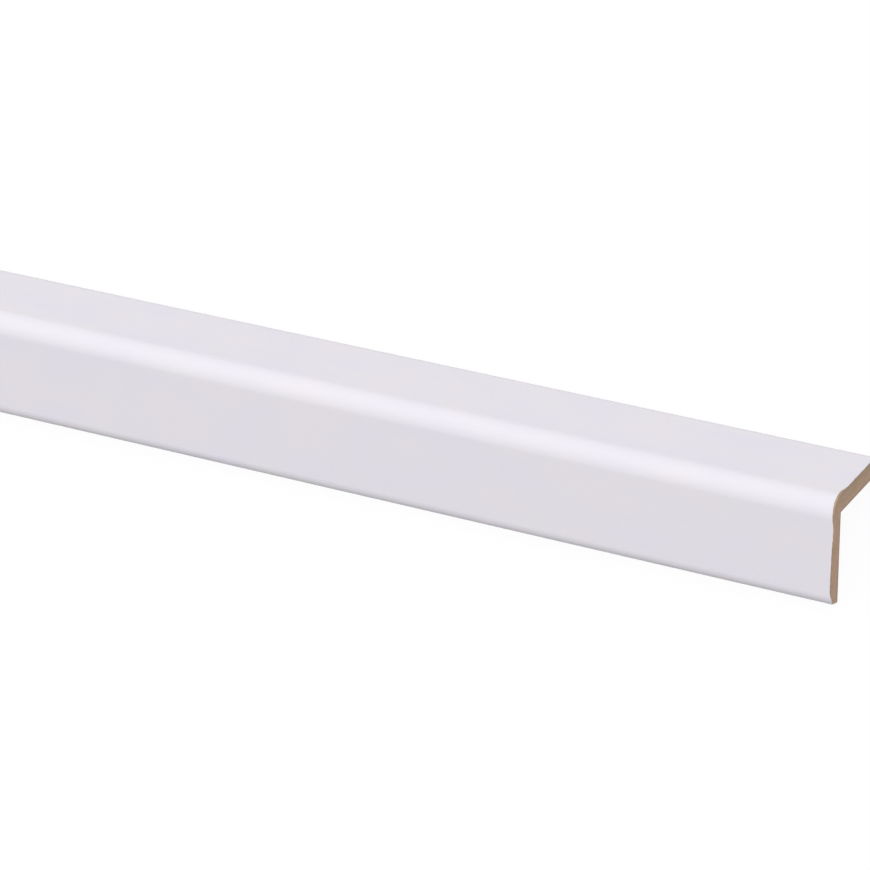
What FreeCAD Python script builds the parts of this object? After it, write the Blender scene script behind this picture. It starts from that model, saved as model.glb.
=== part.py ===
"""Corner guard moulding: one length of fibreboard with an equal-legged angle section.

The stick lies along X as it rests on a floor: nose up, with the inner edge of each leg's tip
on the floor at z = 0. Lengths are in millimetres.
"""
import FreeCAD
import Part
import math
import os

# Driving dimensions
LENGTH = 2400.0  # a length in which such sticks are sold
WIDTH = 28.0  # across either leg, from the other leg's outer face to the tip
THICKNESS = 5.0  # of either leg
NOSE_RADIUS = 4.8  # of the rounded outer corner
TIP_RADIUS = 3.4  # of the outer edge of a tip
TIP_LEAN = 17.0  # degrees by which a tip's end leans out from square towards its inner edge
EDGE_RADIUS = 0.2  # of the crisp inner edge of a tip, on which the stick rests

# Derived sizes of one leg
LEG_INSIDE = WIDTH - THICKNESS  # from the inner corner to the end of the tip
FLAT_INSIDE = LEG_INSIDE - EDGE_RADIUS  # the flat glue face
NOSE_IN = THICKNESS - NOSE_RADIUS  # from either inner face to the nose's centre

# Both arcs of a tip touch its leaning end, so the outer one starts this far before the inner one.
LEAN = math.radians(TIP_LEAN)
TIP_IN = THICKNESS - TIP_RADIUS  # from the inner face to the outer arc's centre
TIP_BACK = (TIP_RADIUS - EDGE_RADIUS + (TIP_IN - EDGE_RADIUS) * math.sin(LEAN)) / math.cos(LEAN)
TIP_START = FLAT_INSIDE - TIP_BACK  # where the outer face ends

# Both legs slope at 45 degrees.
SLOPE = math.sqrt(0.5)
CORNER_HEIGHT = EDGE_RADIUS + (FLAT_INSIDE - EDGE_RADIUS) * SLOPE  # of the inner corner

# Places on the section of one leg, as (along, out): along runs from the inner corner to the tip,
# and out runs from the inner face to the outer face.
nose_centre = (-NOSE_IN, NOSE_IN)
tip_centre = (TIP_START, TIP_IN)
edge_centre = (FLAT_INSIDE, EDGE_RADIUS)
nose_end = (-NOSE_IN, THICKNESS)
face_end = (TIP_START, THICKNESS)
inside_end = (FLAT_INSIDE, 0.0)
inner_corner = (0.0, 0.0)


def on_arc(centre, radius, degrees):
    """The point of an arc in this direction from its centre; 90 degrees is straight out."""
    angle = math.radians(degrees)
    return (centre[0] + radius * math.cos(angle), centre[1] + radius * math.sin(angle))


def stand(point, side):
    """A point of a leg's section, set up in the stick's end plane. side is 1 or -1."""
    along, out = point
    y = side * (along + out) * SLOPE
    z = CORNER_HEIGHT + (out - along) * SLOPE
    return FreeCAD.Vector(-LENGTH / 2.0, y, z)


def line(start, end, side):
    return Part.LineSegment(stand(start, side), stand(end, side)).toShape()


def arc(start, middle, end, side):
    return Part.Arc(stand(start, side), stand(middle, side), stand(end, side)).toShape()


def leg_outline(side):
    """Edges from the crest of the nose round the tip of one leg to the inner corner."""
    crest = on_arc(nose_centre, NOSE_RADIUS, 135.0)
    nose_middle = on_arc(nose_centre, NOSE_RADIUS, 112.5)
    tip_middle = on_arc(tip_centre, TIP_RADIUS, (90.0 + TIP_LEAN) / 2.0)
    tip_end = on_arc(tip_centre, TIP_RADIUS, TIP_LEAN)
    edge_start = on_arc(edge_centre, EDGE_RADIUS, TIP_LEAN)
    edge_middle = on_arc(edge_centre, EDGE_RADIUS, (TIP_LEAN - 90.0) / 2.0)
    return [
        arc(crest, nose_middle, nose_end, side),
        line(nose_end, face_end, side),
        arc(face_end, tip_middle, tip_end, side),
        line(tip_end, edge_start, side),
        arc(edge_start, edge_middle, inside_end, side),
        line(inside_end, inner_corner, side),
    ]


section = leg_outline(1) + leg_outline(-1)
outline = Part.Wire(Part.__sortEdges__(section))
moulding = Part.Face(outline).extrude(FreeCAD.Vector(LENGTH, 0.0, 0.0))

os.makedirs("parts", exist_ok=True)
moulding.exportStep("parts/corner_moulding.step")
print(
    "solids", len(moulding.Solids),
    "valid", moulding.isValid(),
    "volume", round(moulding.Volume),
    "box", moulding.BoundBox,
)
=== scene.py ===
"""Looks of the corner guard moulding: one stick of fibreboard wrapped in a thin white film.

The film covers the outside, goes round both tips and laps onto the glue faces. The rest of the
glue faces and the two sawn ends are bare board. Lengths are in metres.

A leg's section is drawn as (along, out): along runs down the inner face from the inner corner to
the tip, and out runs from the inner face to the outer face. A side is 1 or -1, for the leg towards
+Y or -Y. An end is 1 or -1 too, for the sawn end towards +X or -X.
"""
import math
from collections import namedtuple

import bpy
from mathutils import Matrix, Vector, noise


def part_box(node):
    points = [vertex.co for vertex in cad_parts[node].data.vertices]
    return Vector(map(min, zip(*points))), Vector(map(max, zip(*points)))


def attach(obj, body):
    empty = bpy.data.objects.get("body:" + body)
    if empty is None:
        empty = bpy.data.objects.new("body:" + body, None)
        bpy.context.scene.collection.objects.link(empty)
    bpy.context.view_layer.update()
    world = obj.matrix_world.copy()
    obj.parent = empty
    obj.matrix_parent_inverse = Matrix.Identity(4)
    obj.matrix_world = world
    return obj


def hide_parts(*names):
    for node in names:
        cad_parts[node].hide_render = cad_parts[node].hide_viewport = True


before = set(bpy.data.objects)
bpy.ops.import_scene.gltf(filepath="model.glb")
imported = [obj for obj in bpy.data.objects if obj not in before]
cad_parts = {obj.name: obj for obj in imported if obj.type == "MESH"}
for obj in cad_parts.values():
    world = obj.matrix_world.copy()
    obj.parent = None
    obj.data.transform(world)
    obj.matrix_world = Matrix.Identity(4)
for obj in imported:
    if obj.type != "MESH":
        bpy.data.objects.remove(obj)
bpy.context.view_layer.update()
LOW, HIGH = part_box("corner_moulding")
MM = 0.001

# The stick: its length and height come from the frame.
LENGTH = HIGH.x - LOW.x
HEIGHT = HIGH.z
THICKNESS = 5.0 * MM  # of either leg
NOSE_RADIUS = 4.8 * MM  # of the rounded outer corner
TIP_RADIUS = 3.4 * MM  # of the outer edge of a tip
EDGE_RADIUS = 0.2 * MM  # of the inner edge of a tip
TIP_LEAN = 17.0  # degrees by which a tip's end leans out from square to its inner edge
SLOPE = math.sqrt(0.5)  # both legs slope at 45 degrees
NOSE_IN = THICKNESS - NOSE_RADIUS  # from either inner face to the nose's centre
TIP_IN = THICKNESS - TIP_RADIUS  # from the inner face to the centre of the tip's arc
CORNER_HEIGHT = HEIGHT - NOSE_RADIUS - NOSE_IN / SLOPE  # of the inner corner
FLAT_INSIDE = EDGE_RADIUS + (CORNER_HEIGHT - EDGE_RADIUS) / SLOPE  # width of a flat glue face

# A tip's leaning end touches the arcs of both its edges.
LEAN = math.radians(TIP_LEAN)
TIP_BACK = (TIP_RADIUS - EDGE_RADIUS + (TIP_IN - EDGE_RADIUS) * math.sin(LEAN)) / math.cos(LEAN)
NOSE_CENTRE = (-NOSE_IN, NOSE_IN)
TIP_CENTRE = (FLAT_INSIDE - TIP_BACK, TIP_IN)
EDGE_CENTRE = (FLAT_INSIDE, EDGE_RADIUS)

# Directions on a leg's section, in degrees from along towards out.
TO_CREST = 135.0
OUTWARD = 90.0
MID_TIP = 45.0
INWARD = -90.0

# The film and its edge on the glue faces.
FILM = 0.12 * MM  # thickness
LAP = 2.0 * MM  # mean width on a glue face
LAP_WANDER = 0.2 * MM  # most that the lap is wider or narrower
LAP_WAVE = 90.0 * MM  # length over which its edge wanders

# The sawn ends of the board.
SAW_DEPTH = 0.32 * MM  # from the film's longest lips back to the board's end
SAW_RELIEF = 0.05 * MM  # depth of the saw's marks
MARK_LEVEL = 0.4  # mean depth of the marks, as a share of the relief
ROUGH_SIZE = 1.4 * MM  # of the coarse marks
FINE_SIZE = 0.55 * MM  # of the fine marks
ARRIS = 0.05 * MM  # how far in the board's edge is broken
BARE_ARRIS = 0.20 * MM  # how far back it is broken where no film covers it
BARE_STATION = 2.0 * BARE_ARRIS  # how far back the bare board's next ring lies

# The film's torn edge at a sawn end, with chips and lips. A chip's place is measured from the crest,
# towards -Y on the +X end and towards +Y on the other. Its depth lies behind the mean edge, and a lip's
# depth is below 0.
FILM_BEHIND = 0.08 * MM  # from the board's end back to the mean edge
TEAR = 0.06 * MM  # depth of the fine tears
TEAR_SIZE = 0.9 * MM  # width of the fine tears
TEAR_LAYERS = 3  # of ever finer tears
TEAR_FINER = 2.0  # times, from layer to layer
TEAR_FALL = 1.0  # how fast the finer layers get shallower
Chip = namedtuple("Chip", "place reach depth")
CHIPS = (
    Chip(-1.5 * MM, 3.8 * MM, 0.36 * MM),
    Chip(-4.8 * MM, 1.7 * MM, 0.26 * MM),
    Chip(7.0 * MM, 3.6 * MM, -0.30 * MM),
    Chip(13.0 * MM, 3.0 * MM, -0.10 * MM),
    Chip(24.8 * MM, 1.7 * MM, -0.52 * MM),
)

# Numbers that set each random pattern apart from the others.
LAP_DRAW = (3.0, 0.5)
TEAR_DRAW = (5.0, 2.5)
ROUGH_DRAW = 7.0
FINE_DRAW = 19.0

# How finely the stick is drawn.
STEP = 0.3 * MM  # longest step down the outside
TURN = math.radians(18.0)  # largest turn from step to step round an arc
LAP_STEPS = 7  # across the film's lap
END_STATIONS = (1.2 * MM, 2.4 * MM, 4.8 * MM, 9.6 * MM, 19.0 * MM)  # from either end
MIDDLE_SPANS = 95  # even ones between the last stations of both ends
SHARP_ANGLE = math.radians(30.0)  # edges that turn more are drawn sharp

# How the surface is laid out flat on a square of side 1: the walls in strips, one above the other,
# and the two ends side by side in a band above them.
STRIPS = 4
END_BAND = 0.15  # height of the band
STRIP_BAND = (1.0 - END_BAND) / STRIPS  # height of a strip
BORDER = 0.004  # kept clear round each of them
END_MIDDLES = {-1: 0.25, 1: 0.75}  # across the band

# The film's look. Its patterns' sizes run along the frame's X, Y and Z.
FILM_WARM = (0.709, 0.682, 0.722)
FILM_COOL = (0.692, 0.670, 0.736)
FILM_GREY = (0.660, 0.640, 0.690)  # of the grain
# Painted shade: the film's colour round the tips, greyer where the rounded edge turns away from the light.
FILM_TIP_SHADE = (0.555, 0.540, 0.575)  # round the tips
FILM_SPECULAR = 0.3
CLOUD_SIZE = (16.0 * MM, 9.0 * MM, 9.0 * MM)
GRAIN_SIZE = (0.6 * MM, 0.45 * MM, 0.45 * MM)
PEEL_SIZE = (1.5 * MM, 1.1 * MM, 1.1 * MM)
GRAIN_DEPTH = 0.004 * MM
PEEL_DEPTH = 0.010 * MM
# Painted shade round the tips: where it starts and where it is full.
TIP_SHADE_START = TIP_CENTRE[0] + 0.38 * TIP_RADIUS  # along a leg
TIP_SHADE_FULL = TIP_CENTRE[0] + 0.58 * TIP_RADIUS  # along a leg

# The board's look. Its patterns' sizes run along a leg, out through it and lengthwise.
PATCH_SIZE = (6.0 * MM, 1.6 * MM, 6.0 * MM)
FIBRE_SIZE = (0.9 * MM, 0.22 * MM, 0.9 * MM)
FLECK_SIZE = (0.45 * MM, 0.30 * MM, 0.45 * MM)
OLIVE_TINT = (0.80, 0.90, 0.70)  # of patches, against the pale colour
BRIGHT_TINT = (1.25, 1.28, 1.32)  # of single fibres, against the pale colour

# The look of the bare glue faces.
BARE_PALE = (0.45, 0.32, 0.235)
BARE_DARK = (0.30, 0.20, 0.14)
BARE_FIBRE_DEPTH = 0.02 * MM
CUTTER_PITCH = 1.8 * MM
CUTTER_DEPTH = 0.006 * MM

# The look of the sawn ends: dense under both faces, and olive in the outer half of the leg towards +Y.
SAWN_PALE = (0.53, 0.34, 0.266)
SAWN_DARK = (0.30, 0.184, 0.133)
SAWN_DENSE = (0.27, 0.20, 0.145)
SAWN_OLIVE = (0.295, 0.240, 0.158)
MIDDLE_DEPTH = 0.5 * THICKNESS
DENSE_START = 0.30 * THICKNESS  # from the middle of a leg's thickness
DENSE_FULL = 0.47 * THICKNESS  # from the middle of a leg's thickness
OLIVE_START = -4.0 * MM  # across the stick
OLIVE_FULL = 1.0 * MM  # across the stick
OLIVE_IN = 0.2 * THICKNESS  # where the cast is weakest
OLIVE_OUT = 0.8 * THICKNESS  # where the cast is strongest
SAW_PITCH = 1.6 * MM  # from score to score along Y or Z
SCORE_DEPTH = 0.012 * MM
FLECK_DEPTH = 0.03 * MM

# The photograph's camera: the point that it aims at, where it stands from there, and its lens.
AIM_FROM_END = 102.42 * MM  # back from the +X end
AIM_ASIDE = -2.90 * MM  # across the stick
CAMERA_DISTANCE = 946.80 * MM
CAMERA_AZIMUTH = math.radians(-30.528)
CAMERA_ELEVATION = math.radians(60.874)
CAMERA_ROLL = math.radians(-43.437)
CAMERA_LENS_MM = 166.31
SENSOR_MM = 36.0
NEAREST_SEEN = 10.0 * MM  # from the camera

# The floor and the light all round.
FLOOR_REACH = 6.0  # from the middle to each edge
FLOOR_DULL = (0.08, 0.08, 0.08)  # as it lights the stick
FLOOR_PALE = (0.9, 0.9, 0.9)  # as it takes the stick's shadow
FLOOR_ROUGHNESS = 0.9
FLOOR_GLOW = 0.95  # share of the shown floor that is plain white
WHITE = (1.0, 1.0, 1.0)
SHOWN_LEVEL = 1.0  # at which the floor and the room show as white
ROOM_LEVEL = 1.04  # of the light all round

# The lamps: one wide softbox overhead, and a low one past either end.
OVERHEAD_PLACE = (0.5, 0.30, 1.3)
OVERHEAD_AIM = (0.5, 0.0, 0.0)
OVERHEAD_SIZE = (2.4, 2.0)
OVERHEAD_WATTS = 7.8
FILL_BEYOND = 1.08  # past the end
FILL_ASIDE = 0.1
FILL_HEIGHT = 0.12
FILL_AIM_HEIGHT = 0.01
FILL_SIZE = (0.8, 0.2)
FILL_WATTS = 2.0

# The finishes, in the order of the stick's materials.
FILM_KIND, BARE_KIND, SAWN_KIND = range(3)

# A place of the outline, the direction that its surface faces, and whether film covers it.
Place = namedtuple("Place", "along out face_along face_out covered")

# The parts of a place in a leg's own directions.
LegParts = namedtuple("LegParts", "along out lengthwise")


def on_arc(centre, radius, degrees):
    """The place of an arc in this direction from its centre."""
    angle = math.radians(degrees)
    away = (math.cos(angle), math.sin(angle))
    return Place(centre[0] + radius * away[0], centre[1] + radius * away[1], *away, True)


def arc(centre, radius, first, last):
    """Places round an arc between two directions, without the last."""
    turn = math.radians(abs(last - first))
    steps = max(math.ceil(turn * radius / STEP), math.ceil(turn / TURN))
    return [on_arc(centre, radius, first + (last - first) * step / steps) for step in range(steps)]


def straight(start, end, out, steps, face_out, covered):
    """Places along a leg at one depth, without the last."""
    gap = (end - start) / steps
    return [Place(start + gap * step, out, 0.0, face_out, covered) for step in range(steps)]


def leaning(first, last):
    """Places down the leaning end of a tip, without the last."""
    along = last.along - first.along
    out = last.out - first.out
    steps = math.ceil(math.hypot(along, out) / STEP)
    places = []
    for step in range(steps):
        share = step / steps
        places.append(first._replace(along=first.along + share * along, out=first.out + share * out))
    return places


def leg_outside():
    """From the crest of the nose down the outer face to the middle of the tip."""
    start = NOSE_CENTRE[0]
    end = TIP_CENTRE[0]
    steps = math.ceil((end - start) / STEP)
    places = arc(NOSE_CENTRE, NOSE_RADIUS, TO_CREST, OUTWARD)
    places += straight(start, end, THICKNESS, steps, face_out=1.0, covered=True)
    places += arc(TIP_CENTRE, TIP_RADIUS, OUTWARD, MID_TIP)
    return places


def leg_tip():
    """On from the middle of the tip to its inner edge."""
    places = arc(TIP_CENTRE, TIP_RADIUS, MID_TIP, TIP_LEAN)
    places += leaning(on_arc(TIP_CENTRE, TIP_RADIUS, TIP_LEAN), on_arc(EDGE_CENTRE, EDGE_RADIUS, TIP_LEAN))
    places += arc(EDGE_CENTRE, EDGE_RADIUS, TIP_LEAN, INWARD)
    return places


# Both legs have the same outside and tip. The inside has as many places as the outside.
OUTSIDE = leg_outside()
TIP = leg_tip()
ROWS = len(OUTSIDE)
LAYERS = len(TIP)
CORNER = ROWS + LAYERS + ROWS  # number of the inner corner, counted from the crest
RING = 2 * CORNER  # places once round the stick


def leg_inside(lap):
    """On from the inner edge over the film's lap and the bare board to the inner corner."""
    lap_end = FLAT_INSIDE - lap
    bare_steps = ROWS - LAP_STEPS - 1
    places = straight(FLAT_INSIDE, lap_end, 0.0, LAP_STEPS, face_out=-1.0, covered=True)
    places.append(Place(lap_end, 0.0, face_along=0.0, face_out=-1.0, covered=True))
    places += straight(lap_end - FILM, -FILM, FILM, bare_steps, face_out=-1.0, covered=False)
    places.append(Place(-FILM, FILM, face_along=1.0, face_out=-1.0, covered=False))
    return places


def leg(x, side):
    """One leg's outline from the crest to the inner corner, at this place along the stick."""
    draw = Vector((x / LAP_WAVE, LAP_DRAW[0] * side, LAP_DRAW[1]))
    lap = LAP + LAP_WANDER * noise.noise(draw)
    return OUTSIDE + TIP + leg_inside(lap)


def ring_sides():
    """Which leg each place of a ring is on, and which place of that leg it is."""
    right = [(1, number) for number in range(CORNER + 1)]
    left = [(-1, number) for number in range(CORNER - 1, 0, -1)]
    return right + left


def stand(place, side, depth):
    """A place of a leg's outline in the frame's Y and Z, moved this far under the surface."""
    along = place.along - depth * place.face_along
    out = place.out - depth * place.face_out
    return (side * (along + out) * SLOPE, CORNER_HEIGHT + (out - along) * SLOPE)


def walked(path):
    """How far along a path each of its points lies."""
    lengths = [0.0]
    for one, other in zip(path, path[1:]):
        lengths.append(lengths[-1] + math.dist(one, other))
    return lengths


def shares(path):
    """How far along a path each of its points lies, as a share of its length."""
    lengths = walked(path)
    return [length / lengths[-1] for length in lengths]


def between(one, other, share):
    """The point that lies this share of the way from one point to another."""
    return (one[0] + share * (other[0] - one[0]), one[1] + share * (other[1] - one[1]))


# What is the same on every ring.
RING_SIDES = ring_sides()
FROM_CREST = walked([stand(place, 1, 0.0) for place in leg(0.0, 1)])
COVERED = [place.covered for place in leg(0.0, 1)]


def ring_at(x, film_depth, bare_depth):
    """The stick's outline once round, as Y and Z, under the film and the bare board by these depths."""
    legs = {side: leg(x, side) for side in (1, -1)}
    ring = []
    for side, number in RING_SIDES:
        place = legs[side][number]
        depth = film_depth if place.covered else bare_depth
        ring.append(stand(place, side, depth))
    return ring


def end_x(end):
    """Where a sawn end lies along the stick, at the film's longest lips."""
    return HIGH.x if end > 0 else LOW.x


def film_end(end, side, number):
    """How far behind the stick's end the film stops."""
    place = -end * side * FROM_CREST[number]
    chipped = 0.0
    for chip in CHIPS:
        chipped += chip.depth * math.exp(-((place - chip.place) / chip.reach) ** 2)
    draw = Vector((place / TEAR_SIZE, TEAR_DRAW[0] * end, TEAR_DRAW[1]))
    torn = TEAR * noise.fractal(draw, TEAR_FALL, TEAR_FINER, TEAR_LAYERS)
    return max(0.0, SAW_DEPTH + FILM_BEHIND + chipped + torn)


def end_rings(end):
    """The rings round a sawn end: the board's arris, the board at the film's edge, and the film's edge."""
    x = end_x(end)
    arris = ring_at(x, FILM + ARRIS, ARRIS)
    board = ring_at(x, FILM, 0.0)
    film = ring_at(x, 0.0, 0.0)
    arris_ring = []
    board_ring = []
    film_ring = []
    for index, (side, number) in enumerate(RING_SIDES):
        board_back = SAW_DEPTH + BARE_ARRIS
        film_back = SAW_DEPTH + BARE_STATION
        if COVERED[number]:
            board_back = film_end(end, side, number)
            film_back = board_back
        arris_ring.append((x - end * SAW_DEPTH, *arris[index]))
        board_ring.append((x - end * board_back, *board[index]))
        film_ring.append((x - end * film_back, *film[index]))
    return [arris_ring, board_ring, film_ring]


def middle_rings():
    """The rings between the ends: close together near each end, and evenly spaced from there."""
    near = list(END_STATIONS)
    gap = (LENGTH - 2.0 * near[-1]) / MIDDLE_SPANS
    places = near[:-1] + [near[-1] + gap * step for step in range(MIDDLE_SPANS + 1)]
    places += [LENGTH - place for place in reversed(near[:-1])]
    rings = []
    for place in places:
        x = LOW.x + place
        rings.append([(x, *point) for point in ring_at(x, 0.0, 0.0)])
    return rings


class Skin:
    """The points, faces, finishes and flat layout of the stick while they are put together."""

    def __init__(self):
        self.points = []
        self.faces = []
        self.kinds = []
        self.layout = []

    def add_face(self, corners, kind, layout):
        """A face: the numbers of its points, its finish, and its corners in the flat layout."""
        self.faces.append(corners)
        self.kinds.append(kind)
        self.layout += layout


def inset(share, start, size):
    """A share of a stretch of the flat layout, without the stretch's borders."""
    return start + BORDER + (size - 2.0 * BORDER) * share


def wall_kind(span, spans, step):
    """The finish of a wall's face: sawn round the ends, or else film or bare board."""
    if span in (0, spans - 1):
        return SAWN_KIND
    numbers = (RING_SIDES[step][1], RING_SIDES[(step + 1) % RING][1])
    return FILM_KIND if any(COVERED[number] for number in numbers) else BARE_KIND


def wall_columns(along):
    """Where each span from ring to ring lies in the flat layout: its strip, left and right."""
    spans = len(along) - 1
    columns = []
    for span in range(spans):
        strip = span * STRIPS // spans
        start = along[math.ceil(strip * spans / STRIPS)]
        end = along[math.ceil((strip + 1) * spans / STRIPS)]
        left = inset((along[span] - start) / (end - start), 0.0, 1.0)
        right = inset((along[span + 1] - start) / (end - start), 0.0, 1.0)
        columns.append((strip, left, right))
    return columns


def add_walls(skin, rings):
    """The long outside and inside of the stick, from ring to ring."""
    middle = [point[1:] for point in rings[len(rings) // 2]]
    across = shares(middle + middle[:1])
    columns = wall_columns(walked([(ring[0][0], ring[0][2]) for ring in rings]))
    for ring in rings:
        skin.points += ring
    for span, (strip, left, right) in enumerate(columns):
        start = span * RING
        end = start + RING
        for step in range(RING):
            following = (step + 1) % RING
            low = inset(across[step], strip * STRIP_BAND, STRIP_BAND)
            high = inset(across[step + 1], strip * STRIP_BAND, STRIP_BAND)
            corners = (start + step, end + step, end + following, start + following)
            layout = [(left, low), (right, low), (right, high), (left, high)]
            skin.add_face(corners, wall_kind(span, len(columns), step), layout)


def saw_mark(y, z, end):
    """How deep the saw has torn the board's end here, from 0 to 1."""
    rough = noise.noise(Vector((y / ROUGH_SIZE, z / ROUGH_SIZE, ROUGH_DRAW + end)))
    fine = noise.noise(Vector((y / FINE_SIZE, z / FINE_SIZE, FINE_DRAW + end)))
    return min(1.0, max(0.0, MARK_LEVEL * (1.0 + rough + fine)))


def leg_net(outer, tip, inner):
    """Points all over a leg's end, in rows from the seam to the tip and layers from outside to inside.

    Each is carried by the outer and inner edges and by the seam and the tip, less what both have alike.
    """
    layer_shares = shares(tip)
    row_shares = [0.5 * (one + other) for one, other in zip(shares(outer), shares(inner))]
    seam = [between(outer[0], inner[0], share) for share in layer_shares]
    net = {}
    for row, row_share in enumerate(row_shares):
        outside = between(outer[0], outer[-1], row_share)
        inside = between(inner[0], inner[-1], row_share)
        for layer, layer_share in enumerate(layer_shares):
            across = between(outer[row], inner[row], layer_share)
            down = between(seam[layer], tip[layer], row_share)
            alike = between(outside, inside, layer_share)
            net[row, layer] = (across[0] + down[0] - alike[0], across[1] + down[1] - alike[1])
    return net


def add_net(skin, first, end, side, seam):
    """Adds the points inside a leg's net, apart from a seam that is there, and returns all its numbers."""
    outer = [first + (side * row) % RING for row in range(ROWS + 1)]
    tip = [first + (side * (ROWS + layer)) % RING for layer in range(LAYERS + 1)]
    inner = [first + (side * (CORNER - row)) % RING for row in range(ROWS + 1)]
    net = leg_net(*[[skin.points[number][1:] for number in edge] for edge in (outer, tip, inner)])
    numbers = dict(seam)
    for row in range(ROWS + 1):
        numbers[row, 0] = outer[row]
        numbers[row, LAYERS] = inner[row]
    for layer in range(1, LAYERS):
        numbers[ROWS, layer] = tip[layer]
        for row in range(ROWS):
            if (row, layer) in numbers:
                continue
            y, z = net[row, layer]
            depth = SAW_DEPTH + SAW_RELIEF * saw_mark(y, z, end)
            numbers[row, layer] = len(skin.points)
            skin.points.append((end_x(end) - end * depth, y, z))
    return numbers


def end_layout(point, end):
    """Where a point of a sawn end lies in the flat layout."""
    scale = (END_BAND - 2.0 * BORDER) / HEIGHT
    return (END_MIDDLES[end] + point[1] * scale, 1.0 - END_BAND + BORDER + point[2] * scale)


def add_end(skin, first, end):
    """A sawn end: a net over each leg, the two joined on the seam from the crest to the inner corner."""
    seam = {}
    for side in (1, -1):
        net = add_net(skin, first, end, side, seam)
        seam = {(0, layer): net[0, layer] for layer in range(1, LAYERS)}
        for row in range(ROWS):
            for layer in range(LAYERS):
                corners = [net[row, layer], net[row, layer + 1]]
                corners += [net[row + 1, layer + 1], net[row + 1, layer]]
                if side * end < 0:
                    corners.reverse()
                layout = [end_layout(skin.points[number], end) for number in corners]
                skin.add_face(corners, SAWN_KIND, layout)


def build_stick():
    """The whole stick as one closed piece, without its materials."""
    rings = end_rings(-1) + middle_rings() + end_rings(1)[::-1]
    skin = Skin()
    add_walls(skin, rings)
    add_end(skin, 0, -1)
    add_end(skin, (len(rings) - 1) * RING, 1)
    mesh = bpy.data.meshes.new("corner_moulding_skin")
    mesh.from_pydata(skin.points, [], skin.faces)
    mesh.polygons.foreach_set("material_index", skin.kinds)
    flat = mesh.uv_layers.new(name="OFBake")
    flat.data.foreach_set("uv", [part for corner in skin.layout for part in corner])
    mesh.shade_smooth()
    mesh.set_sharp_from_angle(angle=SHARP_ANGLE)
    piece = bpy.data.objects.new("corner_moulding_stick", mesh)
    bpy.context.scene.collection.objects.link(piece)
    return piece


def opaque(colour):
    """A colour that nothing shows through."""
    return (*colour, 1.0)


def tinted(colour, tint):
    """A colour times a tint."""
    return tuple(part * share for part, share in zip(colour, tint))


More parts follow.
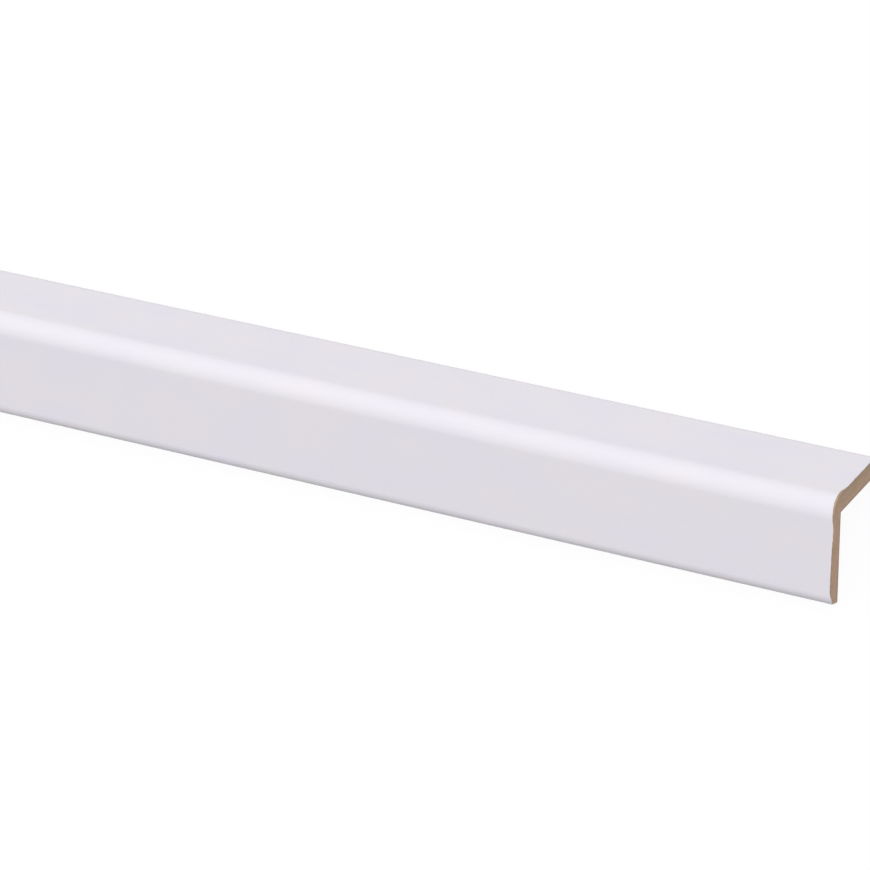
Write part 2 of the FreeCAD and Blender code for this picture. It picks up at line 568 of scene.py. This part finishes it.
class Finish:
    """A new material and its nodes, with short ways to add the ones used here."""

    MIX_SHARE, MIX_FIRST, MIX_SECOND, MIX_RESULT = 0, 6, 7, 2  # sockets of a mix of two colours
    WAVE_TURNS = {"X": 20.0, "DIAGONAL": 10.0}  # radians that a wave turns over a unit of X, Y or Z

    def __init__(self, name):
        self.material = bpy.data.materials.new(name)
        self.material.use_nodes = True
        self.nodes = self.material.node_tree.nodes
        self.links = self.material.node_tree.links
        self.shader = self.nodes["Principled BSDF"]
        self.place = self.nodes.new("ShaderNodeTexCoord").outputs["Object"]

    def calculate(self, operation, *values):
        """A sum, product or the like of values, any of which may be a plain number."""
        node = self.nodes.new("ShaderNodeMath")
        node.operation = operation
        for socket, value in zip(node.inputs, values):
            if isinstance(value, float):
                socket.default_value = value
            else:
                self.links.new(value, socket)
        return node.outputs[0]

    def part(self, axis):
        """How far along the frame's X, Y or Z a place lies."""
        node = self.nodes.new("ShaderNodeSeparateXYZ")
        self.links.new(self.place, node.inputs[0])
        return node.outputs[axis]

    def leg_parts(self):
        """How far along a leg, out through it and lengthwise a place lies, the same on both legs."""
        aside = self.calculate("ABSOLUTE", self.part("Y"))
        above = self.calculate("SUBTRACT", self.part("Z"), CORNER_HEIGHT)
        along = self.calculate("MULTIPLY", self.calculate("SUBTRACT", aside, above), SLOPE)
        out = self.calculate("MULTIPLY", self.calculate("ADD", aside, above), SLOPE)
        return LegParts(along, out, self.part("X"))

    def join(self, parts):
        """A place made of its three parts."""
        node = self.nodes.new("ShaderNodeCombineXYZ")
        for part, socket in zip(parts, node.inputs):
            self.links.new(part, socket)
        return node.outputs[0]

    def blotches(self, place, sizes, detail):
        """Random blotches of these sizes, from 0 to 1."""
        measured = self.nodes.new("ShaderNodeVectorMath")
        measured.operation = "DIVIDE"
        measured.inputs[1].default_value = sizes
        self.links.new(place, measured.inputs[0])
        node = self.nodes.new("ShaderNodeTexNoise")
        node.inputs["Scale"].default_value = 1.0
        node.inputs["Detail"].default_value = detail
        self.links.new(measured.outputs[0], node.inputs["Vector"])
        return node.outputs[0]

    def ridges(self, direction, pitch, distortion):
        """Ridges side by side at this pitch, a little distorted, from 0 to 1."""
        node = self.nodes.new("ShaderNodeTexWave")
        node.bands_direction = direction
        node.inputs["Scale"].default_value = math.tau / (self.WAVE_TURNS[direction] * pitch)
        node.inputs["Distortion"].default_value = distortion
        self.links.new(self.place, node.inputs["Vector"])
        return node.outputs["Fac"]

    def stretch(self, value, low, high, least=0.0, most=1.0):
        """The value between low and high, stretched to run from least to most and kept inside that."""
        node = self.nodes.new("ShaderNodeMapRange")
        self.links.new(value, node.inputs["Value"])
        node.inputs["From Min"].default_value = low
        node.inputs["From Max"].default_value = high
        node.inputs["To Min"].default_value = least
        node.inputs["To Max"].default_value = most
        return node.outputs["Result"]

    def blend(self, share, first, second):
        """A colour between two; each is a colour or the outcome of another blend."""
        node = self.nodes.new("ShaderNodeMix")
        node.data_type = "RGBA"
        self.links.new(share, node.inputs[self.MIX_SHARE])
        for number, colour in ((self.MIX_FIRST, first), (self.MIX_SECOND, second)):
            if isinstance(colour, tuple):
                node.inputs[number].default_value = opaque(colour)
            else:
                self.links.new(colour, node.inputs[number])
        return node.outputs[self.MIX_RESULT]

    def relief(self, height, depth, below=None):
        """Fine relief of this depth, on top of a coarser one."""
        node = self.nodes.new("ShaderNodeBump")
        node.inputs["Distance"].default_value = depth
        self.links.new(height, node.inputs["Height"])
        if below:
            self.links.new(below, node.inputs["Normal"])
        return node.outputs["Normal"]

    def connect(self, colour, roughness, normal):
        """The material, with these on its shader."""
        self.links.new(colour, self.shader.inputs["Base Color"])
        self.links.new(roughness, self.shader.inputs["Roughness"])
        self.links.new(normal, self.shader.inputs["Normal"])
        return self.material


def white_film():
    """Smooth white satin film: a faint lilac cast, a soft mottle, orange peel, and painted shade that
    greys it round the tips.
    """
    finish = Finish("white_film")
    finish.shader.inputs["Specular IOR Level"].default_value = FILM_SPECULAR
    clouds = finish.blotches(finish.place, CLOUD_SIZE, detail=2.0)
    grain = finish.blotches(finish.place, GRAIN_SIZE, detail=3.0)
    peel = finish.blotches(finish.place, PEEL_SIZE, detail=1.0)
    colour = finish.blend(finish.stretch(clouds, low=0.35, high=0.65), FILM_WARM, FILM_COOL)
    colour = finish.blend(finish.stretch(grain, low=0.55, high=0.80, most=0.5), colour, FILM_GREY)
    # Painted shade: the film greys round the tips, in patches.
    tip_shade = finish.stretch(finish.leg_parts().along, low=TIP_SHADE_START, high=TIP_SHADE_FULL)
    patchy_shade = finish.stretch(clouds, low=0.3, high=0.7, least=0.4, most=0.6)
    colour = finish.blend(finish.calculate("MULTIPLY", tip_shade, patchy_shade), colour, FILM_TIP_SHADE)
    roughness = finish.stretch(peel, low=0.3, high=0.7, least=0.45, most=0.55)
    normal = finish.relief(grain, GRAIN_DEPTH, below=finish.relief(peel, PEEL_DEPTH))
    return finish.connect(colour, roughness, normal)


def board_colour(finish, fibres, flecks, place, pale, dark):
    """Mixed fibres of fibreboard: warm and olive patches, dark fibres and pale single flecks."""
    patches = finish.blotches(place, PATCH_SIZE, detail=3.0)
    colour = finish.blend(finish.stretch(patches, low=0.35, high=0.65), pale, tinted(pale, OLIVE_TINT))
    colour = finish.blend(finish.stretch(fibres, low=0.45, high=0.70, most=0.55), colour, dark)
    bright = finish.stretch(flecks, low=0.60, high=0.72, most=0.6)
    return finish.blend(bright, colour, tinted(pale, BRIGHT_TINT))


def bare_board():
    """The planed glue faces: mixed fibres under the faint cross marks of the cutter."""
    finish = Finish("bare_fibreboard")
    place = finish.join(finish.leg_parts())
    fibres = finish.blotches(place, FIBRE_SIZE, detail=4.0)
    flecks = finish.blotches(place, FLECK_SIZE, detail=2.0)
    colour = board_colour(finish, fibres, flecks, place, BARE_PALE, BARE_DARK)
    roughness = finish.stretch(flecks, low=0.3, high=0.7, least=0.70, most=0.90)
    cutter = finish.ridges("X", CUTTER_PITCH, distortion=0.6)
    normal = finish.relief(fibres, BARE_FIBRE_DEPTH, below=finish.relief(cutter, CUTTER_DEPTH))
    return finish.connect(colour, roughness, normal)


def sawn_board():
    """The sawn ends: open fibres in layers along each leg, denser under both faces, scored by the saw."""
    finish = Finish("sawn_fibreboard")
    parts = finish.leg_parts()
    place = finish.join(parts)
    fibres = finish.blotches(place, FIBRE_SIZE, detail=4.0)
    flecks = finish.blotches(place, FLECK_SIZE, detail=2.0)
    colour = board_colour(finish, fibres, flecks, place, SAWN_PALE, SAWN_DARK)
    from_middle = finish.calculate("ABSOLUTE", finish.calculate("SUBTRACT", parts.out, MIDDLE_DEPTH))
    dense = finish.stretch(from_middle, low=DENSE_START, high=DENSE_FULL, most=0.55)
    colour = finish.blend(dense, colour, SAWN_DENSE)
    right_leg = finish.stretch(finish.part("Y"), low=OLIVE_START, high=OLIVE_FULL)
    outer_half = finish.stretch(parts.out, low=OLIVE_IN, high=OLIVE_OUT, least=0.10, most=0.44)
    colour = finish.blend(finish.calculate("MULTIPLY", right_leg, outer_half), colour, SAWN_OLIVE)
    roughness = finish.stretch(fibres, low=0.3, high=0.7, least=0.80, most=0.95)
    scores = finish.ridges("DIAGONAL", SAW_PITCH, distortion=2.0)
    normal = finish.relief(flecks, FLECK_DEPTH, below=finish.relief(scores, SCORE_DEPTH))
    return finish.connect(colour, roughness, normal)


def add_camera():
    """The photograph's camera, turned about its own line of sight by its roll."""
    aim = Vector((HIGH.x - AIM_FROM_END, AIM_ASIDE, CORNER_HEIGHT))
    level = Vector((-math.sin(CAMERA_AZIMUTH), math.cos(CAMERA_AZIMUTH), 0.0))
    back = Vector((
        math.cos(CAMERA_AZIMUTH) * math.cos(CAMERA_ELEVATION),
        math.sin(CAMERA_AZIMUTH) * math.cos(CAMERA_ELEVATION),
        math.sin(CAMERA_ELEVATION),
    ))
    upward = back.cross(level)
    right = math.cos(CAMERA_ROLL) * level + math.sin(CAMERA_ROLL) * upward
    up = back.cross(right)
    data = bpy.data.cameras.new("camera")
    data.lens = CAMERA_LENS_MM
    data.sensor_width = SENSOR_MM
    data.clip_start = NEAREST_SEEN
    camera = bpy.data.objects.new("camera", data)
    turn = Matrix((right, up, back)).transposed().to_4x4()
    camera.matrix_world = Matrix.Translation(aim + CAMERA_DISTANCE * back) @ turn
    bpy.context.scene.collection.objects.link(camera)
    bpy.context.scene.camera = camera


def seen_rays(nodes, links):
    """1 for rays that show the room to the camera, straight or mirrored, and 0 for those that light it."""
    path = nodes.new("ShaderNodeLightPath")
    total = path.outputs["Is Camera Ray"]
    for name in ("Is Glossy Ray", "Is Transmission Ray"):
        either = nodes.new("ShaderNodeMath")
        either.operation = "MAXIMUM"
        links.new(total, either.inputs[0])
        links.new(path.outputs[name], either.inputs[1])
        total = either.outputs[0]
    return total


def floor_material():
    """A dull floor that shows as white, with a faint trace of the stick's shadow."""
    material = bpy.data.materials.new("pale_floor")
    material.use_nodes = True
    nodes, links = material.node_tree.nodes, material.node_tree.links
    dull = nodes["Principled BSDF"]
    dull.inputs["Base Color"].default_value = opaque(FLOOR_DULL)
    dull.inputs["Roughness"].default_value = FLOOR_ROUGHNESS
    pale = nodes.new("ShaderNodeBsdfDiffuse")
    pale.inputs["Color"].default_value = opaque(FLOOR_PALE)
    glow = nodes.new("ShaderNodeEmission")
    glow.inputs["Strength"].default_value = SHOWN_LEVEL
    shown = nodes.new("ShaderNodeMixShader")
    shown.inputs[0].default_value = FLOOR_GLOW
    links.new(pale.outputs[0], shown.inputs[1])
    links.new(glow.outputs[0], shown.inputs[2])
    mix = nodes.new("ShaderNodeMixShader")
    links.new(seen_rays(nodes, links), mix.inputs[0])
    links.new(dull.outputs[0], mix.inputs[1])
    links.new(shown.outputs[0], mix.inputs[2])
    links.new(mix.outputs[0], nodes["Material Output"].inputs["Surface"])
    return material


def add_floor():
    """A level floor under the stick."""
    reach = FLOOR_REACH
    mesh = bpy.data.meshes.new("floor")
    corners = [(-reach, -reach, 0.0), (reach, -reach, 0.0), (reach, reach, 0.0), (-reach, reach, 0.0)]
    mesh.from_pydata(corners, [], [(0, 1, 2, 3)])
    mesh.materials.append(floor_material())
    floor = bpy.data.objects.new("floor", mesh)
    bpy.context.scene.collection.objects.link(floor)


def add_world():
    """Even light from all round, which shows as white."""
    world = bpy.data.worlds.new("studio")
    world.use_nodes = True
    bpy.context.scene.world = world
    nodes, links = world.node_tree.nodes, world.node_tree.links
    background = nodes["Background"]
    background.inputs["Color"].default_value = opaque(WHITE)
    strength = nodes.new("ShaderNodeMapRange")
    links.new(seen_rays(nodes, links), strength.inputs["Value"])
    strength.inputs["To Min"].default_value = ROOM_LEVEL
    strength.inputs["To Max"].default_value = SHOWN_LEVEL
    links.new(strength.outputs["Result"], background.inputs["Strength"])


def add_softbox(name, place, aim, size, watts):
    """A soft lamp with a rectangular face, turned towards the point that it aims at."""
    data = bpy.data.lights.new(name, "AREA")
    data.shape = "RECTANGLE"
    data.size, data.size_y = size
    data.energy = watts
    lamp = bpy.data.objects.new(name, data)
    lamp.location = place
    lamp.rotation_euler = (Vector(aim) - Vector(place)).to_track_quat("-Z", "Y").to_euler()
    bpy.context.scene.collection.objects.link(lamp)


def add_lamps():
    """The softbox overhead and the two past the ends."""
    add_softbox("overhead", OVERHEAD_PLACE, OVERHEAD_AIM, OVERHEAD_SIZE, OVERHEAD_WATTS)
    for name, end in (("end_fill", 1), ("far_fill", -1)):
        place = (end_x(end) + end * FILL_BEYOND, FILL_ASIDE, FILL_HEIGHT)
        aim = (end_x(end), 0.0, FILL_AIM_HEIGHT)
        add_softbox(name, place, aim, FILL_SIZE, FILL_WATTS)


stick = build_stick()
for material in (white_film(), bare_board(), sawn_board()):
    stick.data.materials.append(material)
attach(stick, "root")
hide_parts("corner_moulding")
add_camera()
add_floor()
add_world()
add_lamps()
bpy.context.scene.view_settings.view_transform = "Standard"
